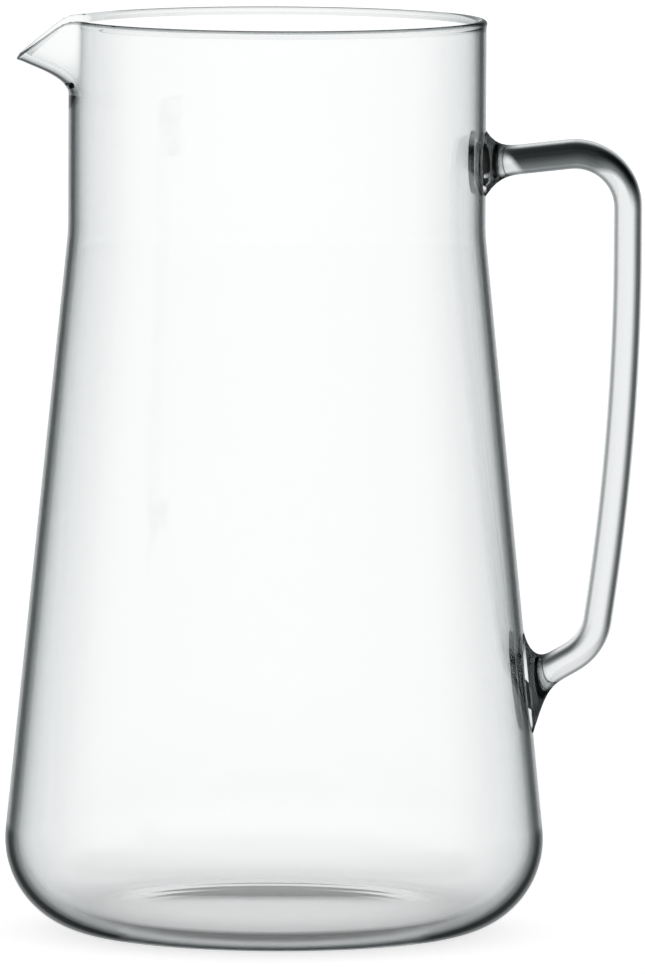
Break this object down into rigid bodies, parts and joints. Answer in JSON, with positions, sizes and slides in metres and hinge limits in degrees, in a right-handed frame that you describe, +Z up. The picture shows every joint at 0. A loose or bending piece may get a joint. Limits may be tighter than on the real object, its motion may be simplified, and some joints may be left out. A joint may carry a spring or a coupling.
{
  "type": "glass pitcher",
  "caption": "Tapering clear glass pitcher with a rounded heel, a small pulled pouring spout and a fused glass strap handle.",
  "frame": {"origin": "on the body's vertical axis, in the plane that the foot stands on", "axes": "+Z up along the body's axis, +X towards the handle, -X towards the spout, +Y across them"},
  "size_m": [0.1664, 0.1414, 0.24],
  "materials": {
    "clear_glass": "clear, fire-polished, smooth"
  },
  "bodies": {
    "root": {"glass_body": "clear_glass", "glass_handle": "clear_glass"}
  },
  "joints": []
}
